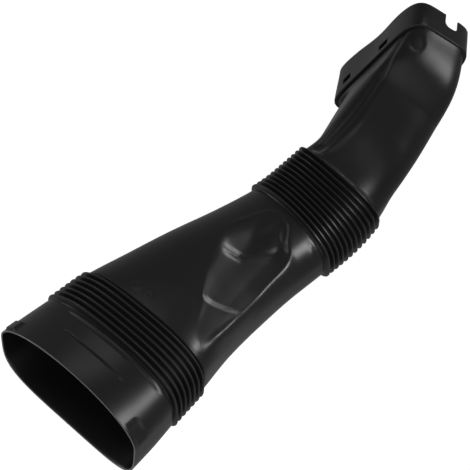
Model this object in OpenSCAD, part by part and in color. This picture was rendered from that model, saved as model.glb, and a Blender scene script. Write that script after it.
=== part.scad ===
// Air intake duct in one blown piece: an oval sleeve, a wide bellows, a body that
// narrows under a recessed top, a narrow bellows, and a snorkel that twists and
// turns down into a four-sided frame. Lengths are measured along the centre line.

/* [Sleeve] */
// Half the width of the mouth
mouth_half_w = 86; // [80:0.5:92]
// Height of the mouth above the centre line
mouth_top = 40; // [36:0.5:44]
// Depth of the mouth below the centre line
mouth_bottom = 45.5; // [40:0.5:48]
// Length from the mouth to the first fold
sleeve_l = 54; // [48:1:64]
// Distance of the long grooves from the mouth
groove_x = 28; // [20:1:36]
// Length of each long groove across the sleeve
groove_l = 76; // [40:1:80]

/* [Bellows] */
// Folds in the wide bellows
wide_folds = 7; // [5:1:7]
// Distance between folds of the wide bellows
wide_pitch = 6; // [5.5:0.1:7]
// Folds in the narrow bellows
narrow_folds = 12; // [8:1:12]
// Distance between folds of the narrow bellows
narrow_pitch = 5.6; // [5.2:0.1:6.5]
// Height of a fold from root to crest
fold_h = 5; // [3:0.5:5.5]

/* [Body] */
// Distance from the last wide fold to the first narrow one
body_l = 183; // [170:1:195]
// Half the width of the neck under the narrow bellows
neck_half_w = 47; // [42:0.5:52]
// Depth of the recess in the top
recess_h = 8.5; // [2:0.5:10]

/* [Snorkel] */
// Length of the straight part of the snorkel
snorkel_l = 89; // [80:1:100]
// Length of the turn into the frame
turn_l = 53; // [48:1:60]
// Half the width of the snorkel
snorkel_half_w = 43; // [40:0.5:46]
// Depth of the valley along the snorkel's left shoulder
valley_h = 2.5; // [1:0.5:4]

/* [Frame] */
// Length of the frame's walls
frame_l = 35.5; // [30:0.5:40]
// Half the short side of the frame
frame_half_w = 36.5; // [34:0.5:40]
// Height of the frame above the centre line
frame_top = 62.5; // [58:0.5:66]
// Depth of the frame below the centre line
frame_bottom = 72; // [68:0.5:74]
// How far the frame stands out from the snorkel
ledge = 2.5; // [1.5:0.5:4]
// Width of the notch in the free edge
notch_w = 15; // [10:0.5:20]
// Reach of the notch from the end of the centre line
notch_h = 20.5; // [14:0.5:24]
// Length of the two windows in the left wall
window_l = 13; // [8:0.5:16]

/* [Wall] */
// Thickness of the wall
wall = 1.8; // [1.4:0.1:2.4]

/* [Hidden] */

black = "#2b2c2e";

// Stations along the centre line
wide_start = sleeve_l;
wide_end = wide_start + (wide_folds - 1) * wide_pitch;
narrow_start = wide_end + body_l;
narrow_end = narrow_start + (narrow_folds - 1) * narrow_pitch;
snorkel_start = narrow_end + 5;
turn_start = snorkel_start + snorkel_l;
frame_start = turn_start + turn_l;
frame_end = frame_start + frame_l;

// How far a crest stands out from the plain surface on each bellows
wide_out = 3;
narrow_out = 4.5;

// Facets round a section, above and below the centre line
n_top = 21;
n_bottom = 13;

// Course of the centre line: station, heading to the left, climb, lean to the right
course = [
    [0, 0, 0, 0],
    [wide_start, 0, 0, 0],
    [wide_end, 0.5, 0.5, 2],
    [(wide_end + narrow_start) / 2, -3, -2.5, 1],
    [narrow_start, -7, 5, 0],
    [narrow_end, -2, 16, 14],
    [snorkel_start + 0.25 * snorkel_l, 8, 16, 20.5],
    [snorkel_start + 0.62 * snorkel_l, 13, 10.5, 27],
    [turn_start, 17, 3.5, 31.5],
    [turn_start + 0.5 * turn_l, 27, -2.5, 34],
    [frame_start, 40.5, -6, 35],
    [frame_end, 40.5, -6, 35],
];

// Sections: station, half width, height above and depth below the centre line,
// and how square the upper and lower half are (2 is an ellipse)
sections = [
    [0, mouth_half_w, mouth_top, mouth_bottom, 2, 4],
    [wide_start - 8, mouth_half_w - 4.5, 37.5, 41.5, 2.35, 3.7],
    [wide_start, mouth_half_w - 6, 38, 40, 2.45, 3.65],
    [wide_end, 75.5, 37.5, 37, 2.7, 3.4],
    [wide_end + 0.25 * body_l, 67.5, 35, 34.5, 2.6, 3.35],
    [wide_end + 0.5 * body_l, 61.5, 33.5, 34, 2.45, 3.3],
    [wide_end + 0.75 * body_l, 56, 31, 33, 2.25, 3.25],
    [narrow_start, neck_half_w + 5.5, 28.5, 33.5, 2.1, 3.2],
    [narrow_end, neck_half_w, 28, 34, 2.8, 4],
    [snorkel_start + 0.25 * snorkel_l, snorkel_half_w + 0.5, 27, 32, 3.3, 4.5],
    [snorkel_start + 0.62 * snorkel_l, snorkel_half_w + 0.5, 26.5, 31, 3.3, 4.5],
    [turn_start, snorkel_half_w - 0.5, 31, 31.5, 3.3, 4.5],
    [turn_start + 0.5 * turn_l, 39, 46, 45, 4.8, 6.5],
    [frame_start, frame_half_w - ledge, frame_top - ledge, frame_bottom - ledge, 7.7, 9],
];

// The frame stands out by the ledge and its lower wall slopes in
frame_sections = [
    [frame_start, frame_half_w, frame_top, frame_bottom, 7.7, 9],
    [frame_end, frame_half_w - 0.5, frame_top + 3.5, frame_bottom - 7.5, 7.7, 9],
];
// The free edge leans, so that the lower wall is the longer one
frame_lean = -0.08;

// Left and right border of the recess: station, distance to the left of the centre line
recess_left = [
    [wide_end + 12, -62], [wide_end + 18, -52], [wide_end + 26, -43], [wide_end + 36, -35],
    [wide_end + 52, -23], [wide_end + 73, -7], [wide_end + 96, 6], [wide_end + 118, 17],
    [wide_end + 130, 18], [wide_end + 147, 14], [wide_end + 163, 10], [wide_end + 172, 1],
    [wide_end + 175, -8],
];
recess_right = [
    [wide_end + 12, -64], [wide_end + 40, -63.5], [wide_end + 64, -61.5], [wide_end + 90, -56.5],
    [wide_end + 114, -52.5], [wide_end + 134, -48.5], [wide_end + 150, -41.5], [wide_end + 156, -33],
    [wide_end + 165, -24], [wide_end + 172, -16], [wide_end + 175, -8],
];
// Width of the soft left wall of the recess and of its steep right wall
soft_side = 26;
steep_side = 9;
// Stations of the two steps down across the recess, at its left and right border
lower_fold = [wide_end + 52, wide_end + 71.5];
upper_fold = [wide_end + 99, wide_end + 146];
// Pad that stands on the floor of the recess: both ends of its crest, radius, height
pad_from = [wide_end + 132, -29];
pad_to = [wide_end + 164, -4];
pad_r = 12.5;
pad_h = 4.6;

// Depth of the long grooves round the sleeve
groove_h = 0.9;
// Place of the valley round the section, in degrees, and half its width
valley_at = 52;
valley_half_w = 8;

// Cutters reach this far through a wall
cut = 12;
// Windows in the frame's left wall: height of each middle, distance from the ledge, width
window_z = [13, -44];
window_x = 9;
window_w = 7;
// Distance of the notch to the left of the centre line
notch_y = -6.5;
// Lug on the sleeve's upper left shoulder: place, size, tilt
lug_at = [5, 66, 17];
lug_size = [15, 11, 6];
lug_tilt = -35;
// Cutter for the low pocket outside the sleeve's right end: place and size
pocket_at = [6, -mouth_half_w - 8, 3];
pocket_size = [9, 8, 16];

function span(t, x) = max([for (i = [0:len(t) - 2]) if (i == 0 || x >= t[i][0]) i]);

function rise(t, i, k) = (t[i + 1][k] - t[i][k]) / (t[i + 1][0] - t[i][0]);

// Slope at row i, level where the column turns
function slope(t, i, k) =
    i == 0 ? rise(t, 0, k)
    : i == len(t) - 1 ? rise(t, i - 1, k)
    : let (a = rise(t, i - 1, k), b = rise(t, i, k)) a * b <= 0 ? 0 : 2 * a * b / (a + b);

function curve(t, x, k) =
    let (
        i = span(t, x),
        w = t[i + 1][0] - t[i][0],
        u = min(max((x - t[i][0]) / w, 0), 1)
    )
    t[i][k] * (1 + 2 * u) * pow(1 - u, 2) + t[i + 1][k] * u * u * (3 - 2 * u)
    + w * slope(t, i, k) * u * pow(1 - u, 2) - w * slope(t, i + 1, k) * u * u * (1 - u);

function ease(x) = let (u = min(max(x, 0), 1)) u * u * (3 - 2 * u);

function heading(s) = [curve(course, s, 1), curve(course, s, 2), curve(course, s, 3)];

function along(h) = [cos(h[1]) * cos(h[0]), cos(h[1]) * sin(h[0]), sin(h[1])];

function level_left(h) = [-sin(h[0]), cos(h[0]), 0];

function level_up(h) = [-sin(h[1]) * cos(h[0]), -sin(h[1]) * sin(h[0]), cos(h[1])];

function left(h) = level_left(h) * cos(h[2]) + level_up(h) * sin(h[2]);

function up(h) = level_up(h) * cos(h[2]) - level_left(h) * sin(h[2]);

step = 2;
function stride(i) = step * along(heading((i + 0.5) * step));
line = [
    for (i = 0, p = [0, 0, 0]; i <= ceil(frame_end / step); p = p + stride(i), i = i + 1) p
];

function centre(s) =
    let (i = min(floor(s / step), len(line) - 2), u = s / step - i)
    line[i] * (1 - u) + line[i + 1] * u;

angles = [
    for (i = [0:n_top - 1]) i * 180 / n_top,
    for (i = [0:n_bottom - 1]) 180 + i * 180 / n_bottom,
];

// Height of the pad at a station and a distance to the left
function pad(s, y) =
    let (
        d = pad_to - pad_from,
        v = [s, y] - pad_from,
        t = min(max(v * d / (d * d), 0), 1)
    )
    pad_h * max(0, 1 - pow(norm(v - t * d) / pad_r, 2));

// Depth of the recess at a station and a distance to the left
function recess(s, y) =
    let (
        l = curve(recess_left, s, 1),
        r = curve(recess_right, s, 1),
        w = (l - y) / max(l - r, 1),
        first = recess_left[0][0],
        last = recess_left[len(recess_left) - 1][0],
        ends = ease((s - first) / 26) * ease((last - s) / 11),
        f1 = s - lower_fold[0] - (lower_fold[1] - lower_fold[0]) * w * w,
        f2 = s - upper_fold[0] - (upper_fold[1] - upper_fold[0]) * w,
        floor_h = recess_h * (0.4 + 0.2 * ease(f1 / 6 + 0.5) + 0.4 * ease(f2 / 10 + 0.5)),
        u = min((l - y) / soft_side, 1),
        sides = 0.5 * (ease(u) + u * (2 - u)) * ease((y - r) / steep_side)
    )
    w <= 0 || w >= 1 || s <= first || s >= last ? 0
    : max(0, floor_h - pad(s, y)) * sides * ends;

// Depth of the long grooves at a station and a distance to the left
function groove(s, y) = abs(s - groove_x) < 0.1 && abs(y + 8) < groove_l / 2 ? groove_h : 0;

// Depth of the valley along the left shoulder of the snorkel at a station and an angle
function valley(s, t) =
    let (ends = ease((s - snorkel_start) / 12) * ease((frame_start + 6 - s) / 14))
    valley_h * ends * max(0, 1 - abs(t - valley_at) / valley_half_w);

// Section row at a station, on the frame or on the rest
function row(s, framed) = [for (k = [1:5]) curve(framed ? frame_sections : sections, s, k)];

function section(s, grow, framed) =
    let (
        h = heading(min(s, frame_end)),
        c = centre(min(s, frame_end)),
        q = row(s, framed),
        forward = along(h),
        sideways = left(h),
        upward = up(h)
    )
    [
        for (t = angles)
            let (
                high = t < 180,
                n = high ? q[3] : q[4],
                g = framed ? grow : grow - valley(s, t),
                y = (q[0] + g) * sign(cos(t)) * pow(abs(cos(t)), 2 / n),
                z0 = ((high ? q[1] : q[2]) + g) * sign(sin(t)) * pow(abs(sin(t)), 2 / n),
                z = framed ? z0 : high ? z0 - recess(s, y) - groove(s, y) : z0 + groove(s, y),
                lean = framed ? frame_lean * z * (s - frame_start) / frame_l : 0
            )
            c + sideways * y + upward * z + forward * lean
    ];

// Stations of one bellows: root, edge and edge of each crest, then the last root
function outer_folds(start, folds, pitch, out) = [
    for (i = [0:folds - 1])
        each [
            [start + (i - 0.5) * pitch, out - fold_h, false],
            [start + (i - 0.2) * pitch, out, false],
            [start + (i + 0.2) * pitch, out, false]
        ],
    [start + (folds - 0.5) * pitch, out - fold_h, false],
];

function inner_folds(start, folds, pitch, out) = [
    for (i = [0:folds - 1])
        each [
            [start + (i - 0.5) * pitch, out - fold_h - wall, false],
            [start + i * pitch, out - wall, false]
        ],
    [start + (folds - 0.5) * pitch, out - fold_h - wall, false],
];

function plain(from, to, n, grow) = [for (i = [0:n]) [from + (to - from) * i / n, grow, false]];

outer = [
    [0, 0, false],
    [2, 0.6, false],
    [3.5, 0, false],
    [groove_x - 0.8, 0, false],
    [groove_x, 0, false],
    [groove_x + 0.8, 0, false],
    [wide_start - 10, 0, false],
    [wide_start - 8.6, -1.4, false],
    each outer_folds(wide_start, wide_folds, wide_pitch, wide_out),
    each plain(wide_end + 4.4, narrow_start - 4.2, 21, 0),
    each outer_folds(narrow_start, narrow_folds, narrow_pitch, narrow_out),
    each plain(snorkel_start - 0.8, turn_start, 6, 0),
    each plain(turn_start + turn_l / 8, frame_start, 7, 0),
    [frame_start, 0, true],
    [frame_end, 0, true],
];

inner = [
    [0, -wall, false],
    [wide_start - 10, -wall, false],
    [wide_start - 8.6, -1.4 - wall, false],
    each inner_folds(wide_start, wide_folds, wide_pitch, wide_out),
    each plain(wide_end + 5.4, narrow_start - 5.2, 12, -wall),
    each inner_folds(narrow_start, narrow_folds, narrow_pitch, narrow_out),
    each plain(snorkel_start + 1.2, turn_start, 3, -wall),
    each plain(turn_start + turn_l / 6, frame_start, 5, -wall),
    [frame_start + wall, -wall, true],
    [frame_end, -wall, true],
];

rings = [
    each outer,
    for (i = [len(inner) - 1:-1:0]) inner[i],
];

skin = [for (r = rings) each section(r[0], r[1], r[2])];

// Shift that rests the duct on the ground with its middle over the origin
function middle(v) = (min(v) + max(v)) / 2;
rest = -[
    middle([for (p = skin) p.x]),
    middle([for (p = skin) p.y]),
    min([for (p = skin) p.z])
];

// Tube of quads from ring to ring, and from the last ring back to the first
module shell() {
    n = len(angles);
    m = len(rings);
    polyhedron(
        points = skin,
        faces = [
            for (i = [0:m - 1], j = [0:n - 1])
                let (
                    k = (j + 1) % n,
                    a = i * n,
                    b = ((i + 1) % m) * n
                )
                each [[a + j, a + k, b + j], [a + k, b + k, b + j]]
        ],
        convexity = 12
    );
}

// Places children at a station, with X along the duct, Y to the left and Z up
module at_station(s) {
    h = heading(s);
    c = centre(s);
    f = along(h);
    l = left(h);
    u = up(h);
    multmatrix([
        [f.x, l.x, u.x, c.x],
        [f.y, l.y, u.y, c.y],
        [f.z, l.z, u.z, c.z],
        [0, 0, 0, 1]
    ])
        children();
}

// Cutter for the notch in the frame's upper wall, round at its inner end
module notch() {
    translate([frame_l - notch_h, notch_y, frame_top - cut / 2])
        linear_extrude(1.5 * cut)
            union() {
                translate([notch_w / 2, 0])
                    circle(d = notch_w, $fn = 24);
                translate([notch_w / 2, -notch_w / 2])
                    square([notch_h + 8, notch_w]);
            }
}

// Cutter for one window in the frame's left wall, at a height
module window(z) {
    translate([window_x, frame_half_w - cut / 2, z - window_l / 2])
        cube([window_w, cut, window_l]);
}

module duct() {
    color(black)
        translate(rest)
            difference() {
                union() {
                    shell();
                    at_station(0)
                        translate(lug_at)
                            rotate([lug_tilt, 0, 0])
                                cube(lug_size);
                }
                at_station(frame_start) {
                    notch();
                    for (z = window_z) window(z);
                }
                at_station(0)
                    translate(pocket_at)
                        cube(pocket_size);
            }
}

duct();
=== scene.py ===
import math
import bpy
import bmesh
from mathutils import Matrix, Vector


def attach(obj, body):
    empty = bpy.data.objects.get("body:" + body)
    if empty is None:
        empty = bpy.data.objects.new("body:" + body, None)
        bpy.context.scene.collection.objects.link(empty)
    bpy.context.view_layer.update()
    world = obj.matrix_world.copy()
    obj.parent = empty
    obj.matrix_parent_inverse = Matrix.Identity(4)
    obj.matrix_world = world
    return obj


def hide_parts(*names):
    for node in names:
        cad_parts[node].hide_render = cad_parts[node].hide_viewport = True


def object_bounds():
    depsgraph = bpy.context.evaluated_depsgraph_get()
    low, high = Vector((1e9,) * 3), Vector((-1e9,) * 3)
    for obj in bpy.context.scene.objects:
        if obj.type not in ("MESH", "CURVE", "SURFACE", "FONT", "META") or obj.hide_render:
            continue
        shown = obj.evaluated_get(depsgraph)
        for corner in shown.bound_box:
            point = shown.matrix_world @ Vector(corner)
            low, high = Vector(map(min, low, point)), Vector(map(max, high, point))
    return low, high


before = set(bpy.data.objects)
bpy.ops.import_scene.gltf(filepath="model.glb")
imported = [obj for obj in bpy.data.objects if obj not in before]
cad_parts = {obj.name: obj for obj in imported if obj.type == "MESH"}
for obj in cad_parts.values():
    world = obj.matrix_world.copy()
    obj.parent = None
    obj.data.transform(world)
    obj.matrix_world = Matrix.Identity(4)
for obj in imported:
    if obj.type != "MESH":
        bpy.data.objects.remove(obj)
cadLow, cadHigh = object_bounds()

mm = 0.001


# The duct's driving sizes, in millimetres along and across its centre line
duct = {
    "mouthHalfW": 86, "mouthTop": 40, "mouthBottom": 45.5,
    "sleeveL": 54, "grooveAt": 28, "collarAt": 45,
    "wideFolds": 7, "widePitch": 6, "wideOut": 3,
    "narrowFolds": 12, "narrowPitch": 5.6, "narrowOut": 4.5,
    "bodyL": 183, "neckHalfW": 47,
    "snorkelGap": 5, "snorkelL": 89, "turnL": 53, "snorkelHalfW": 43,
    "frameL": 35.5, "frameHalfW": 36.5, "frameTop": 62.5, "frameBottom": 72,
    "ledge": 2.5, "wall": 1.8,
}

wideStart = duct["sleeveL"]
wideEnd = wideStart + (duct["wideFolds"] - 1) * duct["widePitch"]
narrowStart = wideEnd + duct["bodyL"]
narrowEnd = narrowStart + (duct["narrowFolds"] - 1) * duct["narrowPitch"]
snorkelStart = narrowEnd + duct["snorkelGap"]
turnStart = snorkelStart + duct["snorkelL"]
frameStart = turnStart + duct["turnL"]
frameEnd = frameStart + duct["frameL"]
print("duct's centre line", round(frameEnd), "mm long")


def bodyAt(part):
    return wideEnd + part * duct["bodyL"]


def snorkelAt(part):
    return snorkelStart + part * duct["snorkelL"]


def turnAt(part):
    return turnStart + part * duct["turnL"]


# Station, heading to the left, climb, lean to the right, in degrees
course = [
    (0, 0, 0, 0), (wideStart, 0, 0, 0), (wideEnd, 0.5, 0.5, 2), (bodyAt(0.5), -3, -2.5, 1),
    (narrowStart, -7, 5, 0), (narrowEnd, -2, 16, 14), (snorkelAt(0.25), 8, 16, 20.5),
    (snorkelAt(0.62), 13, 10.5, 27), (turnStart, 17, 3.5, 31.5), (turnAt(0.5), 27, -2.5, 34),
    (frameStart, 40.5, -6, 35), (frameEnd, 40.5, -6, 35),
]

# Station, half width, height above and depth below the line, squareness above and below
sections = [
    (0, duct["mouthHalfW"], duct["mouthTop"], duct["mouthBottom"], 2, 4),
    (wideStart - 8, duct["mouthHalfW"] - 4.5, 37.5, 41.5, 2.35, 3.7),
    (wideStart, duct["mouthHalfW"] - 6, 38, 40, 2.45, 3.65),
    (wideEnd, 75.5, 37.5, 37, 2.7, 3.4),
    (bodyAt(0.25), 67.5, 35, 34.5, 2.6, 3.35),
    (bodyAt(0.5), 61.5, 33.5, 34, 2.45, 3.3),
    (bodyAt(0.75), 56, 31, 33, 2.25, 3.25),
    (narrowStart, duct["neckHalfW"] + 5.5, 28.5, 33.5, 2.1, 3.2),
    (narrowEnd, duct["neckHalfW"], 28, 34, 2.8, 4),
    (snorkelAt(0.25), duct["snorkelHalfW"] + 0.5, 27, 32, 3.3, 4.5),
    (snorkelAt(0.62), duct["snorkelHalfW"] + 0.5, 26.5, 31, 3.3, 4.5),
    (turnStart, duct["snorkelHalfW"] - 0.5, 31, 31.5, 3.3, 4.5),
    (turnAt(0.5), 39, 46, 45, 4.8, 6.5),
    (frameStart, duct["frameHalfW"] - duct["ledge"], duct["frameTop"] - duct["ledge"],
     duct["frameBottom"] - duct["ledge"], 5.6, 9),
]
frameSections = [
    (frameStart, duct["frameHalfW"], duct["frameTop"], duct["frameBottom"], 5.6, 9),
    (frameEnd, duct["frameHalfW"] - 0.5, duct["frameTop"] + 3.5, duct["frameBottom"] - 7.5, 5.6, 9),
]


def clamp(x):
    return min(max(x, 0), 1)


def ease(x):
    u = clamp(x)
    return u * u * (3 - 2 * u)


def easeOver(x, start, length):
    return ease((x - start) / length)


def ramp(x):
    return 0.5 * ease(x) + 0.5 * clamp(x)


def bump(x):
    return math.exp(-x * x)


def between(ends, part):
    return ends[0] + (ends[1] - ends[0]) * part


def inside(x, low, high, edge):
    return ease((x - low) / edge + 0.5) * ease((high - x) / edge + 0.5)


# Smooth curve through one column of a table, which never overshoots its rows
def curveAt(table, x, column):
    last = len(table) - 2
    i = max([0] + [j for j in range(last + 1) if x >= table[j][0]])

    def rise(j):
        return (table[j + 1][column] - table[j][column]) / (table[j + 1][0] - table[j][0])

    def slope(j):
        if j == 0:
            return rise(0)
        if j > last:
            return rise(last)
        a, b = rise(j - 1), rise(j)
        return 0 if a * b <= 0 else 2 * a * b / (a + b)

    width = table[i + 1][0] - table[i][0]
    u = clamp((x - table[i][0]) / width)
    v = 1 - u
    start, end = table[i][column], table[i + 1][column]
    bend = width * (slope(i) * u * v * v - slope(i + 1) * u * u * v)
    return start * (1 + 2 * u) * v * v + end * u * u * (3 - 2 * u) + bend


def axesAt(station):
    turn, climb, lean = (math.radians(curveAt(course, station, k)) for k in (1, 2, 3))
    level = math.cos(climb)
    forward = Vector((level * math.cos(turn), level * math.sin(turn), math.sin(climb)))
    levelLeft = Vector((-math.sin(turn), math.cos(turn), 0))
    levelUp = forward.cross(levelLeft)
    left = levelLeft * math.cos(lean) + levelUp * math.sin(lean)
    return forward, left, forward.cross(left)


# Points of the centre line, added up from its headings
lineStep = 2
centreLine = [Vector((0, 0, 0))]
while len(centreLine) * lineStep < frameEnd + 2 * lineStep:
    centreLine.append(centreLine[-1] + lineStep * axesAt((len(centreLine) - 0.5) * lineStep)[0])


def centreAt(station):
    i = min(int(station / lineStep), len(centreLine) - 2)
    return centreLine[i].lerp(centreLine[i + 1], station / lineStep - i)


# Recess in the body's top. Borders and pad: distance past the wide bellows, distance to the left.
# From, stop and over say where a form comes in or goes, and over what length. Of a pair in brackets,
# the first is the value at the recess's lower end and the second the value at its upper end.
recess = {
    "left": [(12, -62), (18, -52), (26, -43), (36, -35), (52, -23), (73, -7), (96, 6),
             (118, 17), (130, 18), (147, 14), (163, 10), (172, 1), (175, -8)],
    "right": [(12, -66), (40, -65.5), (64, -63.2), (90, -58), (114, -52.5), (134, -48.5),
              (150, -41.5), (156, -33), (165, -24), (172, -16), (175, -8)],
    "before": 4, "startOver": 26, "endOver": 7,  # its reach along the body
    "upperFrom": 20, "upperOver": 90,  # change from the lower end's values to the upper end's
    "floor": (0.9, 2.1), "deepFrom": 35, "deepOver": 35,  # depth beside the folds
    "flat": (1.0, 0.35), "flatLeastW": 8,  # share of a flat floor in it
    "softSide": (4, 32), "stepSide": (5, 27), "farSide": 20,  # widths of the left and the right slope
    "ridgeH": 1.1, "ridgeHalfW": 5, "ridgeOver": 16, "ridgeStop": 20, "ridgeStopOver": 14,
    "ridgeSide": 7, "ridgeFoot": 3, "ridgeStep": 0.8, "ridgeLess": 0.8,  # ridge on the right border
    "rimH": 0.5, "rimHalfW": 3.2, "rimFrom": 105, "rimOver": 20, "rimRight": 30,  # soft rim above
    "liftH": 6.8, "liftOver": 30, "liftStop": 50, "liftStopOver": 50, "liftLeastW": 3,  # raised side
    "pad": [(133, -27), (164, -4)], "padR": 20, "padH": 2.6, "padShape": 1.5,
    "padFrom": 1, "padOver": 10, "padDepth": 5,  # round-ended pad, past the upper fold
}

# Cross folds of the recess: distance past the wide bellows at the left border, then how much further on
# towards the right border. The upper one turns away more sharply from a share of the width on.
crossFolds = {
    "lowerAt": 50.5, "lowerOn": 19.5, "lowerH": 2, "lowerFrom": -3.2, "lowerOver": 6.5,
    "upperAt": 99, "upperOn": 27, "upperH": 1.8, "upperFrom": (-6.2, 0.2), "upperOver": 6,
    "turnOn": 55, "turnAt": 0.45, "turnFrom": 0.35, "turnOver": 0.2, "turnLess": 0.5, "crease": 0.9,
}


def topAt(station, y):
    halfW, high, square = (curveAt(sections, station, k) for k in (1, 2, 4))
    return high * (1 - min(abs(y) / halfW, 1) ** square) ** (1 / square)


# Depth that brings the round top down to a flat floor between the two borders
def flatDepth(station, y, leftY, rightY, floor, side):
    start, end = leftY - side / 2, rightY + recess["ridgeFoot"]
    low = topAt(station, end) - recess["ridgeStep"]
    high = topAt(station, start) - floor
    return topAt(station, y) - low - (high - low) * (y - end) / max(start - end, recess["flatLeastW"])


# Height of the ridge and rim on the borders, and of the raised side in the lower part
def borderHeight(station, rightY, fromLeft, fromRight, width):
    past, first, last = station - wideEnd, recess["left"][0][0], recess["left"][-1][0]
    start = easeOver(past, first, recess["ridgeOver"])
    ends = start * easeOver(last - past, recess["ridgeStop"], recess["ridgeStopOver"])
    ridge = recess["ridgeH"] * bump(fromRight / recess["ridgeHalfW"]) * ends
    rim = recess["rimH"] * bump(min(fromLeft, fromRight + recess["rimRight"]) / recess["rimHalfW"])
    rim *= easeOver(past - first, recess["rimFrom"], recess["rimOver"])
    lower = easeOver(past - first, -recess["before"], recess["liftOver"])
    lower *= 1 - easeOver(past, recess["liftStop"], recess["liftStopOver"])
    lift = recess["liftH"] * lower
    if fromRight >= 0:
        lift *= clamp(1 - fromRight / width)
    else:
        outside = curveAt(sections, station, 1) + rightY
        lift *= ease(1 + fromRight / max(outside, recess["liftLeastW"]))
    return ridge * (1 - recess["ridgeLess"] * lower) + rim + lift


# How far a spot lies past the lower and the upper fold, and how far the upper one has turned away
def pastFolds(past, w, width):
    swing = crossFolds["lowerOn"]
    lower = (past - crossFolds["lowerAt"] - swing * w * w) / math.hypot(1, 2 * swing * w / width)
    turned = easeOver(w, crossFolds["turnFrom"], crossFolds["turnOver"])
    along = past - crossFolds["upperAt"] - crossFolds["upperOn"] * w
    along -= crossFolds["turnOn"] * max(0, w - crossFolds["turnAt"])
    slope = crossFolds["upperOn"] + crossFolds["turnOn"] * turned
    return lower, along / math.hypot(1, slope / width), turned


def foldSteps(lower, upper, turned):
    first, second = crossFolds["upperFrom"]
    steps = crossFolds["lowerH"] * ramp((lower - crossFolds["lowerFrom"]) / crossFolds["lowerOver"])
    steps += crossFolds["crease"] * bump(upper)
    early = (1 - crossFolds["turnLess"] * turned) * ramp((upper - first) / crossFolds["upperOver"])
    return steps + crossFolds["upperH"] * (early + ramp((upper - second) / crossFolds["upperOver"]))


def padHeight(station, y):
    start, end = (Vector((wideEnd + along, side)) for along, side in recess["pad"])
    spot = Vector((station, y))
    part = clamp((spot - start).dot(end - start) / (end - start).length_squared)
    away = (spot - start.lerp(end, part)).length / recess["padR"]
    return recess["padH"] * max(0, 1 - away * away) ** recess["padShape"]


def recessDepth(station, y):
    past, first, last = station - wideEnd, recess["left"][0][0], recess["left"][-1][0]
    if not first - recess["before"] < past < last:
        return 0
    leftY, rightY = (curveAt(recess[border], past, 1) for border in ("left", "right"))
    fromLeft, fromRight, width = leftY - y, y - rightY, max(leftY - rightY, 1)
    border = borderHeight(station, rightY, fromLeft, fromRight, width)
    if fromLeft <= 0 or fromRight <= 0:
        return -border
    upward = easeOver(past, recess["upperFrom"], recess["upperOver"])
    lower, upper, turned = pastFolds(past, fromLeft / width, width)
    steps = foldSteps(lower, upper, turned)
    side = between(recess["softSide"], upward)
    u = min(fromLeft / side, 1)
    soft = 0.5 * (ease(u) + u * (2 - u))
    floor = between(recess["floor"], easeOver(past, recess["deepFrom"], recess["deepOver"]))
    flat = between(recess["flat"], upward)
    far = ease(fromRight / recess["farSide"])
    flattened = max(flatDepth(station, y, leftY, rightY, floor, side), 0)
    floor = (1 - flat) * (floor * far) + flat * flattened
    depth = soft * floor + steps * ease(fromLeft / between(recess["stepSide"], upward ** 2)) * far
    depth *= (ease(fromRight / recess["ridgeSide"]) * easeOver(past, first, recess["startOver"])
              * ease((last - past) / recess["endOver"]))
    pad = padHeight(station, y) * ramp((upper - recess["padFrom"]) / recess["padOver"])
    pad *= ease(depth / recess["padDepth"])
    return depth - pad - border


# Valley along the snorkel's left shoulder with a low ridge beside it. Path: station, angle in degrees.
valley = {
    "path": [(snorkelStart, 31), (snorkelAt(0.5), 34.5), (turnStart, 36), (turnAt(0.5), 41),
             (frameStart, 50)],
    "depth": 2.6, "halfW": 3.2, "ridge": 0.9, "ridgeAt": 6.5, "ridgeHalfW": 3,
    "startOver": 12, "endOver": 14, "beyond": 2,
}


def valleyDepth(station, angle, radius):
    if not snorkelStart < station < frameStart + valley["beyond"]:
        return 0
    ends = easeOver(station, snorkelStart, valley["startOver"])
    ends *= ease((frameStart + valley["beyond"] - station) / valley["endOver"])
    across = math.radians(angle - curveAt(valley["path"], station, 1)) * radius
    dip = valley["depth"] * bump(across / valley["halfW"])
    ridge = valley["ridge"] * bump((across - valley["ridgeAt"]) / valley["ridgeHalfW"])
    return ends * (dip - ridge)


# Small marks. Groove and collar line: half width, depth, from and to across, length of the ends.
# Lug and pocket: from, to and edge along, then from, to and edge in degrees, then height.
# Mould rings: station and distance to the left of each, then what they share.
marks = {
    "groove": (0.7, 1.0, -46, 29, 3), "collar": (0.8, 0.8, -67, 40, 8),
    "lug": ((1.5, 13.5, 1.5), (11.5, 20, 1.6), 2.2),
    "pocket": ((4, 15, 1.2), (165, 177, 1.2), -1.2),
    "sleeveClear": 5,  # the sleeve's marks end this far before the folds
    "rings": [(106.9, 21.1), (106.4, 6.0)], "ringR": 5, "ringEdge": 2, "ringH": 0.5,
    "dimple": 0.6, "dimpleR": 2,
    "discAt": 469, "discAngle": 64, "discR": 8, "discEdge": 2.5, "discDepth": 0.8,
}


def markHeight(station, y, angle, radius):
    height = 0
    if station < wideStart - marks["sleeveClear"]:
        halfW, depth, low, high, ends = marks["groove"]
        height -= depth * bump((station - duct["grooveAt"]) / halfW) * inside(y, low, high, ends)
        halfW, depth, low, high, ends = marks["collar"]
        if angle < 180:
            height -= depth * bump((station - duct["collarAt"]) / halfW) * inside(y, low, high, ends)
        for along, around, tall in (marks["lug"], marks["pocket"]):
            height += tall * inside(station, *along) * inside(angle, *around)
    if angle < 180 and wideEnd < station < bodyAt(0.25):
        for ringAt, side in marks["rings"]:
            away = math.hypot(station - ringAt, y - side)
            disc = marks["ringH"] * ease((marks["ringR"] - away) / marks["ringEdge"] + 0.5)
            height += disc * (1 - marks["dimple"] * bump(away / marks["dimpleR"]))
    if angle < 180 and turnStart < station < frameStart:
        around = math.radians(angle - marks["discAngle"]) * radius
        away = math.hypot(station - marks["discAt"], around)
        height -= marks["discDepth"] * ease((marks["discR"] - away) / marks["discEdge"] + 0.5)
    return height


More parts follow.
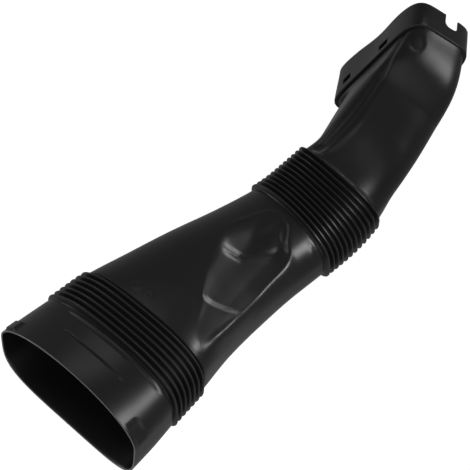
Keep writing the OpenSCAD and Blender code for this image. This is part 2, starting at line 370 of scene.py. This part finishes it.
# Bellows: first crest, folds, pitch, height of a crest, length of the dip on either side
bellows = [
    (wideStart, duct["wideFolds"], duct["widePitch"], duct["wideOut"], 2),
    (narrowStart, duct["narrowFolds"], duct["narrowPitch"], duct["narrowOut"], 1.5),
]
# The crest share and its power paint a paler highlight along the top of each fold crest
foldShape = {
    "height": 5, "pointed": 1.25, "crestSheen": 0.12, "sheenPower": 5,
    "crestFill": 0.6, "clearBefore": 5, "clearAfter": 6,  # on the inner skin
    "stepFrom": 10, "stepTo": 8.6, "stepH": 1.4,  # the inner skin steps in before the wide bellows
}


# How far the outer skin stands off its section
def growAt(station):
    dips = 0
    for start, folds, pitch, out, dipL in bellows:
        first, last = start - pitch / 2, start + (folds - 1) * pitch + pitch / 2
        if first < station < last:
            wave = 0.5 + 0.5 * math.cos(2 * math.pi * (station - start) / pitch)
            return out - foldShape["height"] * (1 - wave ** foldShape["pointed"])
        away = first - station if station <= first else station - last
        dips += (out - foldShape["height"]) * ease(1 - away / dipL)
    return dips


# Mesh: columns round the section, and for each span of the outer skin its start and the gap of its rings
grooveAt, collarAt = duct["grooveAt"], duct["collarAt"]
wideHalf, narrowHalf = duct["widePitch"] / 2, duct["narrowPitch"] / 2
mesh = {
    "topColumns": 112, "bottomColumns": 60,
    "innerFrom": 3, "innerGap": 5, "frameFrom": 2.5, "frameGap": 2.4,
    "spans": [(0.4, 0.6), (3, 1.6), (grooveAt - 2, 0.4), (grooveAt + 2, 2), (collarAt - 2, 0.45),
              (collarAt + 2, 1.4), (wideStart - wideHalf, duct["widePitch"] / 10), (wideEnd + wideHalf, 1.55),
              (narrowStart - narrowHalf, duct["narrowPitch"] / 9), (narrowEnd + narrowHalf, 1.6),
              (frameStart, 0)],
}

# Rounded edges of the wall: distance from its end, distance in from the skin
roundings = {
    "mouthOutside": [(0.0, 0.45), (0.12, 0.15)], "mouthInside": [(0.0, 0.45), (0.12, 0.12)],
    "frame": [(0.5, 0), (0.12, 0.12), (0, 0.5)],
    "ledge": [(0.25, 0.2), (0.8, 0)], "ledgeEdge": 0.7, "reach": 0.5,
}


def spread(a, b, gap):
    count = max(1, round((b - a) / gap))
    return [a + (b - a) * i / count for i in range(count)]


def innerRun(start, end):
    return [(s, -duct["wall"], "inner") for s in spread(start, end, mesh["innerGap"])]


def innerFolds(start, folds, pitch, out, _):
    dip = out - foldShape["height"] - duct["wall"]
    crest = out - duct["wall"] - foldShape["crestFill"]
    rings = []
    for i in range(folds):
        rings += [(start + (i - 0.5) * pitch, dip, "inner"), (start + i * pitch, crest, "inner")]
    return rings + [(start + (folds - 0.5) * pitch, dip, "inner")]


# Rings of the skin from the mouth to the far end and back inside: station, distance outwards, kind
def ductRings():
    wall = duct["wall"]
    outer = [(s, -inset, "rim") for s, inset in roundings["mouthOutside"]]
    for (start, gap), (end, _) in zip(mesh["spans"], mesh["spans"][1:]):
        outer += [(s, growAt(s), "outer") for s in spread(start, end, gap)]
    outer += [(frameStart, 0, "outer"), (frameStart, duct["ledge"] - roundings["ledgeEdge"], "outer")]
    outer += [(frameStart + along, -inset, "frame") for along, inset in roundings["ledge"]]
    frameRun = spread(frameStart + mesh["frameFrom"], frameEnd - roundings["reach"], mesh["frameGap"])
    outer += [(s, 0, "frame") for s in frameRun]
    outer += [(frameEnd - back, -inset, "frame") for back, inset in roundings["frame"]]
    inner = [(s, inset - wall, "rim") for s, inset in roundings["mouthInside"]]
    stepStart, stepEnd = wideStart - foldShape["stepFrom"], wideStart - foldShape["stepTo"]
    inner += [(roundings["reach"], -wall, "inner")] + innerRun(mesh["innerFrom"], stepStart)
    inner += [(stepStart, -wall, "inner"), (stepEnd, -foldShape["stepH"] - wall, "inner")]
    inner += innerFolds(*bellows[0])
    inner += innerRun(wideEnd + foldShape["clearAfter"], narrowStart - foldShape["clearBefore"])
    inner += innerFolds(*bellows[1]) + innerRun(narrowEnd + foldShape["clearAfter"], frameStart)
    inner += [(frameStart, -wall, "inner"), (frameStart + wall, -wall, "frame")]
    inner += [(frameEnd - back, inset - wall, "frame") for back, inset in roundings["frame"]]
    return outer + inner[::-1]


# Mouth: how far its lower edge reaches forward, the share of that in the middle and what changes across,
# the length over which it fades, and how much squarer its lower right corner is
mouth = {"slant": 4, "middle": 0.7, "across": 0.4, "slantL": 30, "cornerSquare": 0.7}

# Far end: lean of its free edge, and the inward bend of its left wall with its height and half length
farEnd = {"lean": -0.08, "bend": 2.6, "bendAt": 2, "bendHalfL": 24}
innerShare = 0.9  # the inner skin follows the recess and the valley a little less


# Distance along, to the left and up from the centre line, for an angle round a ring
def pointOnRing(shape, station, kind, angle):
    a, above, below, squareAbove, squareBelow = shape
    b, square = (above, squareAbove) if angle < 180 else (below, squareBelow)
    if 180 < angle < 270:
        square += mouth["cornerSquare"] * ease(1 - station / wideStart)
    c, s = math.cos(math.radians(angle)), math.sin(math.radians(angle))
    radius = (abs(c / a) ** square + abs(s / b) ** square) ** (-1 / square)
    y, z = radius * c, radius * s
    if kind == "frame":
        part = (station - frameStart) / duct["frameL"]
        bent = farEnd["bend"] * part * bump((z - farEnd["bendAt"]) / farEnd["bendHalfL"]) if c > 0 else 0
        return farEnd["lean"] * z * part, y - bent, z
    lower = clamp(-z / duct["mouthBottom"])
    tilt = mouth["middle"] - mouth["across"] * y / duct["mouthHalfW"]
    along = -mouth["slant"] * lower * tilt * ease(1 - station / mouth["slantL"])
    share = innerShare if kind == "inner" else 1
    if angle < 180:
        z -= recessDepth(station, y) * share
    if kind == "rim":
        return along, y, z
    height = markHeight(station, y, angle, radius) if kind == "outer" else 0
    height -= valleyDepth(station, angle, radius) * share
    slopeY = math.copysign(abs(c * radius / a) ** (square - 1) / a, c)
    slopeZ = math.copysign(abs(s * radius / b) ** (square - 1) / b, s)
    size = math.hypot(slopeY, slopeZ)
    return along, y + height * slopeY / size, z + height * slopeZ / size


# Share of a ring mixed to grey: all of it on the trimmed rim, whose grey is partly a painted highlight, and a
# little on the crests of the folds, a painted highlight
def edgeAndSheenAt(station, grow, kind):
    tallest = duct["wideOut"] if station < bodyAt(0.5) else duct["narrowOut"]
    crest = foldShape["crestSheen"] * (max(grow, 0) / tallest) ** foldShape["sheenPower"]
    return {"rim": 1, "outer": crest}.get(kind, 0)


# A grid is rolled into the skin: one way along the rings, the other way round them
def makeDuct():
    rings = ductRings()
    top, bottom = mesh["topColumns"], mesh["bottomColumns"]
    angles = [180 * i / top for i in range(top)] + [180 + 180 * i / bottom for i in range(bottom)]
    angles.append(360)
    bm = bmesh.new()
    bmesh.ops.create_grid(bm, x_segments=len(rings), y_segments=len(angles) - 1, size=1)
    # Float layer that mixes the skin to grey: the trimmed rim, partly a painted highlight, and a painted
    # highlight along the fold crests
    cutEdgeAndSheen = bm.verts.layers.float.new("cutEdgeAndSheen")
    rows = {}
    for vert in bm.verts:
        rows.setdefault(round((vert.co.x + 1) / 2 * len(rings)), []).append(vert)
    for index, verts in rows.items():
        station, grow, kind = rings[index % len(rings)]
        table = frameSections if kind == "frame" else sections
        halfW, high, low, squareTop, squareBottom = (curveAt(table, station, k) for k in range(1, 6))
        shape = (halfW + grow, high + grow, low + grow, squareTop, squareBottom)
        middle, (forward, left, up) = centreAt(station), axesAt(station)
        edgeAndSheen = edgeAndSheenAt(station, grow, kind)
        for vert in verts:
            angle = angles[round((vert.co.y + 1) / 2 * (len(angles) - 1))] % 360
            along, y, z = pointOnRing(shape, station, kind, angle)
            vert[cutEdgeAndSheen] = edgeAndSheen
            vert.co = (middle + left * y + up * z + forward * along) * mm
    bmesh.ops.remove_doubles(bm, verts=bm.verts, dist=1e-6)
    bmesh.ops.recalc_face_normals(bm, faces=bm.faces)
    if bm.calc_volume(signed=True) < 0:
        bmesh.ops.reverse_faces(bm, faces=bm.faces)
    return bm


def addObject(name, bm):
    data = bpy.data.meshes.new(name)
    bm.to_mesh(data)
    bm.free()
    obj = bpy.data.objects.new(name, data)
    bpy.context.scene.collection.objects.link(obj)
    return obj


# Openings in the frame: distance from the ledge, left and up, size along, across and up,
# corner radius, and the axis that they go through: 1 across, 2 up
openings = {
    "upperWindow": ((8.5, 36, 13), (7, 14, 13), 1.2, 1),
    "lowerWindow": ((11, 36, -44), (7, 14, 12), 1.2, 1),
    "notch": ((31, -6.5, 64), (31, 15, 18), 5.5, 2),
}

# Turned-in edge round each window: its wall, its depth inside the skin, how far it stays under the skin
collar = {"wall": 1.5, "depth": 3.0, "under": 0.6, "cornerR": 2}


# Rounded block in the frame's own directions, to cut with or to add
def makeBlock(name, place, size, cornerR, through):
    forward, left, up = axesAt(frameStart)
    turned = Matrix((forward, left, up)).transposed().to_4x4()
    bm = bmesh.new()
    bmesh.ops.create_cube(bm, size=1)
    bmesh.ops.scale(bm, vec=Vector(size) * mm, verts=bm.verts)
    # Only the edges that run through the opening are rounded
    edges = [e for e in bm.edges if abs((e.verts[0].co - e.verts[1].co).normalized()[through]) > 0.9]
    bmesh.ops.bevel(bm, geom=edges, offset=cornerR * mm, segments=8, profile=0.5, affect="EDGES", material=-1)
    bmesh.ops.translate(bm, vec=Vector(place) * mm, verts=bm.verts)
    bmesh.ops.transform(bm, matrix=turned, verts=bm.verts)
    bmesh.ops.translate(bm, vec=centreAt(frameStart) * mm, verts=bm.verts)
    return addObject(name, bm)


def makeCollar(name):
    (along, _, height), (length, _, tall), _, through = openings[name]
    outside = duct["frameHalfW"] - collar["under"]
    within = duct["frameHalfW"] - duct["wall"] - collar["depth"]
    place = (along, (outside + within) / 2, height)
    size = (length + 2 * collar["wall"], outside - within, tall + 2 * collar["wall"])
    return makeBlock(name + "Collar", place, size, collar["cornerR"], through)


ductSkin = addObject("ductSkin", makeDuct())
print("duct lofted", len(ductSkin.data.polygons))
cutters = [makeBlock(name + "Cutter", *block) for name, block in openings.items()]
collars = [makeCollar(name) for name in ("upperWindow", "lowerWindow")]
for tool in collars + cutters:
    cut = ductSkin.modifiers.new(tool.name, "BOOLEAN")
    cut.object = tool
    cut.operation = "UNION" if tool in collars else "DIFFERENCE"
    cut.solver = "EXACT"
bpy.context.view_layer.update()
evaluated = ductSkin.evaluated_get(bpy.context.evaluated_depsgraph_get())
cutMesh = bpy.data.meshes.new_from_object(evaluated)
ductSkin.modifiers.clear()
ductSkin.data = cutMesh
for tool in collars + cutters:
    bpy.data.objects.remove(tool)

# Seats the skin on the CAD node's place
corners = [v.co for v in ductSkin.data.vertices]
skinLow = [min(c[k] for c in corners) for k in range(3)]
skinHigh = [max(c[k] for c in corners) for k in range(3)]
seat = Vector(((cadLow[0] + cadHigh[0] - skinLow[0] - skinHigh[0]) / 2,
               (cadLow[1] + cadHigh[1] - skinLow[1] - skinHigh[1]) / 2, cadLow[2] - skinLow[2]))
ductSkin.data.transform(Matrix.Translation(seat))
ductSkin.data.shade_smooth()
ductSkin.data.set_sharp_from_angle(angle=math.radians(38))  # sharper turns keep a crisp edge
print("openings cut", len(ductSkin.data.polygons), "seat", seat)


def toLinear(hexColour):
    parts = [int(hexColour[i:i + 2], 16) / 255 for i in (1, 3, 5)]
    return tuple(p / 12.92 if p <= 0.04045 else ((p + 0.055) / 1.055) ** 2.4 for p in parts) + (1,)


# Settings and links go to sockets by name or by number, and other settings to the node itself
def addNode(tree, kind, settings=None, links=None):
    node = tree.nodes.new(kind)
    for name, value in (settings or {}).items():
        if isinstance(name, int) or name in node.inputs:
            node.inputs[name].default_value = value
        else:
            setattr(node, name, value)
    for name, socket in (links or {}).items():
        tree.links.new(socket, node.inputs[name])
    return node


def startMaterial(name):
    material = bpy.data.materials.new(name)
    material.use_nodes = True
    material.node_tree.nodes.clear()
    return material, material.node_tree


# Blow-moulded polyethylene, black: a satin skin with a fine spark-eroded grain and soft waves.
# It is a little paler in random worn patches, paler on the fold crests, where the paler tone is a painted
# highlight, and grey on the trimmed rim, partly a painted highlight. The real grain is about 0.2 mm, too fine
# to show, so it is drawn coarser.
plastic = {
    "colour": "#131313", "worn": "#181818", "cutEdgeAndSheen": "#808080",
    "roughness": 0.31, "roughnessSpread": 0.05, "ior": 1.5, "cloudMm": 60,
    "grainMm": 0.9, "grainDepthMm": 0.02, "waveMm": 26, "waveDepthMm": 0.25,
}


def makePlastic():
    material, tree = startMaterial("blackBlownPolyethylene")
    place = addNode(tree, "ShaderNodeTexCoord").outputs["Object"]
    grain, wave, cloud = (
        addNode(tree, "ShaderNodeTexNoise", {"Scale": 1000 / size, "Detail": detail}, {"Vector": place})
        for size, detail in ((plastic["grainMm"], 2.0), (plastic["waveMm"], 1.0), (plastic["cloudMm"], 4.0)))
    colour = addNode(tree, "ShaderNodeMix", {"data_type": "RGBA"}, {"Factor": cloud.outputs["Fac"]})
    colour.inputs["A"].default_value = toLinear(plastic["colour"])
    colour.inputs["B"].default_value = toLinear(plastic["worn"])
    middle, spread = plastic["roughness"], plastic["roughnessSpread"]
    rough = addNode(tree, "ShaderNodeMapRange", {"To Min": middle - spread, "To Max": middle + spread},
                    {"Value": cloud.outputs["Fac"]})
    # Grey mix from the vertex layer: the trimmed rim, partly a painted highlight, and a painted highlight on
    # the fold crests
    edge = addNode(tree, "ShaderNodeAttribute", {"attribute_name": "cutEdgeAndSheen"}).outputs["Fac"]
    cutEdgeAndSheen = addNode(tree, "ShaderNodeMix", {"data_type": "RGBA"}, {"Factor": edge})
    tree.links.new(colour.outputs["Result"], cutEdgeAndSheen.inputs["A"])
    cutEdgeAndSheen.inputs["B"].default_value = toLinear(plastic["cutEdgeAndSheen"])
    waves = addNode(tree, "ShaderNodeBump", {"Strength": 1.0, "Distance": plastic["waveDepthMm"] * mm},
                    {"Height": wave.outputs["Fac"]})
    grains = addNode(tree, "ShaderNodeBump", {"Strength": 1.0, "Distance": plastic["grainDepthMm"] * mm},
                     {"Height": grain.outputs["Fac"], "Normal": waves.outputs["Normal"]})
    shader = addNode(tree, "ShaderNodeBsdfPrincipled", {"IOR": plastic["ior"]},
                     {"Base Color": cutEdgeAndSheen.outputs["Result"], "Roughness": rough.outputs["Result"],
                      "Normal": grains.outputs["Normal"]})
    addNode(tree, "ShaderNodeOutputMaterial", None, {"Surface": shader.outputs["BSDF"]})
    return material


ductSkin.data.materials.clear()
ductSkin.data.materials.append(makePlastic())
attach(ductSkin, "root")
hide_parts("duct")
print("plastic assigned")


# Studio: the camera sees a pale floor and a white backdrop. The duct is lit by a dim room that
# darkens from the horizon up, a broad glow from the near left, and the softboxes below.
studio = {
    "floorSize": 8, "floorColour": "#a8a8a8", "floorGlow": 0.92, "floorGloss": 0.12,
    "horizon": 0.26, "zenith": 0.12, "zenithFrom": 0.0, "zenithTo": 0.7,
    "front": 0.7, "frontEdge": 0.5, "frontFrom": (-0.64, -0.6, 0.48),
}

# Softboxes with grids: place, aimed at, width and height in metres, power in watts, spread in degrees
lamps = {
    "keyLamp": ((0.085, -0.215, 0.32), (-0.08, -0.06, 0.06), (0.16, 0.09), 0.06, 60),
    "mouthLamp": ((-0.12, -0.31, 0.39), (-0.25, -0.06, 0.07), (0.16, 0.16), 0.048, 50),
    "backLamp": ((0.29, 0, 0.25), (-0.09, -0.02, 0.07), (0.1, 0.1), 0.019, 45),
    "sleeveLamp": ((-0.07, 0.12, 0.405), (-0.255, -0.03, 0.085), (0.16, 0.16), 0.002, 34),
    "endLamp": ((0.37, -0.155, 0.235), (0.2, -0.01, 0.11), (0.08, 0.08), 0.01, 50),
    "foldLamp": ((-0.45, 0.88, 0.46), (-0.12, 0, 0.07), (0.3, 0.3), 1.2, 180),
    "sideLamp": ((-0.25, 0.75, 0.85), (0, 0, 0.07), (0.5, 0.5), 0.8, 180),
}
white = (1, 1, 1, 1)


def seenDirectly(tree, path):
    return addNode(tree, "ShaderNodeMath", {"operation": "MAXIMUM"},
                   {0: path.outputs["Is Camera Ray"], 1: path.outputs["Is Transmission Ray"]}).outputs[0]


def makeFloor():
    bm = bmesh.new()
    bmesh.ops.create_grid(bm, x_segments=1, y_segments=1, size=studio["floorSize"] / 2)
    floor = addObject("floor", bm)
    material, tree = startMaterial("paintedFloor")
    path = addNode(tree, "ShaderNodeLightPath")
    gloss = studio["floorGloss"] / studio["floorGlow"]
    seen = addNode(tree, "ShaderNodeMath", {"operation": "MULTIPLY_ADD", 1: gloss},
                   {0: path.outputs["Is Glossy Ray"], 2: seenDirectly(tree, path)})
    strength = addNode(tree, "ShaderNodeMath", {"operation": "MULTIPLY", 1: studio["floorGlow"]},
                       {0: seen.outputs[0]})
    matt = addNode(tree, "ShaderNodeBsdfDiffuse", {"Color": toLinear(studio["floorColour"])})
    glow = addNode(tree, "ShaderNodeEmission", {"Color": white}, {"Strength": strength.outputs[0]})
    both = addNode(tree, "ShaderNodeAddShader", None, {0: matt.outputs[0], 1: glow.outputs[0]})
    addNode(tree, "ShaderNodeOutputMaterial", None, {"Surface": both.outputs[0]})
    floor.data.materials.append(material)


def makeWorld():
    world = bpy.data.worlds.new("studio")
    bpy.context.scene.world = world
    world.use_nodes = True
    tree = world.node_tree
    tree.nodes.clear()
    direction = addNode(tree, "ShaderNodeTexCoord").outputs["Generated"]
    height = addNode(tree, "ShaderNodeSeparateXYZ", None, {"Vector": direction}).outputs["Z"]
    facing = addNode(tree, "ShaderNodeVectorMath", {"operation": "DOT_PRODUCT", 1: studio["frontFrom"]},
                     {0: direction}).outputs["Value"]
    room = addNode(tree, "ShaderNodeMapRange",
                   {"From Min": studio["zenithFrom"], "From Max": studio["zenithTo"],
                    "To Min": studio["horizon"], "To Max": studio["zenith"],
                    "interpolation_type": "SMOOTHSTEP"}, {"Value": height})
    front = addNode(tree, "ShaderNodeMapRange",
                    {"From Min": studio["frontEdge"], "From Max": 1.0, "To Min": 0.0,
                     "To Max": studio["front"], "interpolation_type": "SMOOTHSTEP"}, {"Value": facing})
    both = addNode(tree, "ShaderNodeMath", {"operation": "ADD"},
                   {0: room.outputs["Result"], 1: front.outputs["Result"]})
    lit = addNode(tree, "ShaderNodeBackground", {"Color": white}, {"Strength": both.outputs["Value"]})
    seen = addNode(tree, "ShaderNodeBackground", {"Color": white, "Strength": 1})
    path = addNode(tree, "ShaderNodeLightPath")
    mix = addNode(tree, "ShaderNodeMixShader", None,
                  {0: seenDirectly(tree, path), 1: lit.outputs[0], 2: seen.outputs[0]})
    addNode(tree, "ShaderNodeOutputWorld", None, {"Surface": mix.outputs[0]})


def addLamp(name, place, target, size, power, spreadAngle):
    lamp = bpy.data.lights.new(name, "AREA")
    lamp.shape = "ELLIPSE"
    lamp.size, lamp.size_y = size
    lamp.energy = power
    lamp.spread = math.radians(spreadAngle)
    obj = bpy.data.objects.new(name, lamp)
    obj.location = place
    obj.rotation_euler = (Vector(place) - Vector(target)).to_track_quat("Z", "Y").to_euler()
    obj.visible_camera = False
    bpy.context.scene.collection.objects.link(obj)


makeFloor()
makeWorld()
for name, settings in lamps.items():
    addLamp(name, *settings)
print("studio lit")


# Camera: heading and dip in degrees, and where the mouth's middle lies in its picture, as a pixel and
# as a depth in millimetres
view = {
    "heading": 44.353, "dip": 50.513, "focalPixels": 2000, "imagePixels": 470,
    "mouthPixel": (66.533, 392.813), "mouthDepth": 1735.166, "sensorMm": 36, "sightEnd": 20,
}


def makeCamera():
    camera = bpy.data.objects.new("camera", bpy.data.cameras.new("camera"))
    camera.data.sensor_width = view["sensorMm"]
    camera.data.lens = view["sensorMm"] * view["focalPixels"] / view["imagePixels"]
    camera.data.clip_end = view["sightEnd"]
    turn = Matrix.Rotation(math.radians(view["heading"] - 90), 4, "Z")
    tilt = Matrix.Rotation(math.radians(90 - view["dip"]), 4, "X")
    turned = turn @ tilt
    half = view["imagePixels"] / 2
    across, down = ((pixel - half) / view["focalPixels"] for pixel in view["mouthPixel"])
    toMouth = turned @ Vector((across, -down, -1)) * view["mouthDepth"] * mm
    camera.matrix_world = Matrix.Translation(seat - toMouth) @ turned
    bpy.context.scene.collection.objects.link(camera)
    bpy.context.scene.camera = camera


makeCamera()
bpy.context.scene.view_settings.view_transform = "Standard"
print("scene ready")
